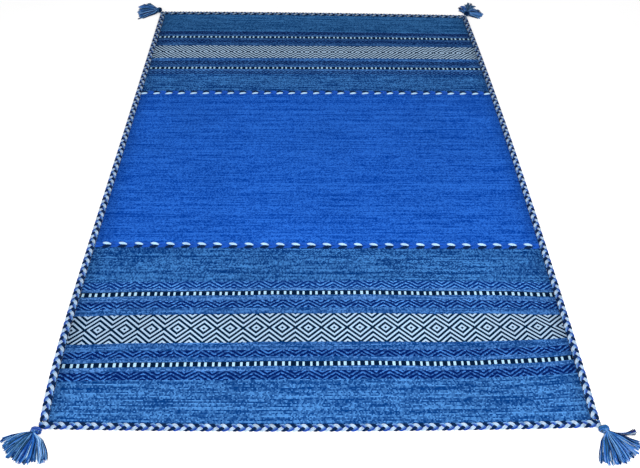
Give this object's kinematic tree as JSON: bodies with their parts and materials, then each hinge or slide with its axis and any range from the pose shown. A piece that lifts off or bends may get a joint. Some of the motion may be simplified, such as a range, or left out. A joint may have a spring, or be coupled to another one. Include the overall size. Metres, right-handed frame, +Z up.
{
  "type": "flat-woven kilim rug with plaited edge and corner tassels",
  "caption": "Flat rectangular cotton kilim in blues with banded ends, a diamond band, a plaited edge and a tassel at each corner.",
  "frame": {"origin": "middle of the rug on its underside, halfway between its corners", "axes": "+Z up out of the face, +Y along the length away from the near end, +X across the width to the right"},
  "size_m": [1.3631, 1.9566, 0.0194],
  "materials": {
    "cloth": "matt heathered cotton flat weave, bright blue field between banded ends",
    "edge_plait": "matt cotton yarn plait in white, navy and periwinkle blue",
    "tassel_yarn": "matt loose cotton yarn in mixed blues, wrapped at the neck"
  },
  "bodies": {
    "root": {"kilim_cloth": "cloth", "plait_front": "edge_plait", "plait_back": "edge_plait", "plait_left": "edge_plait", "plait_right": "edge_plait", "tassel_near_left": "tassel_yarn", "tassel_near_right": "tassel_yarn", "tassel_far_left": "tassel_yarn", "tassel_far_right": "tassel_yarn"}
  },
  "joints": []
}
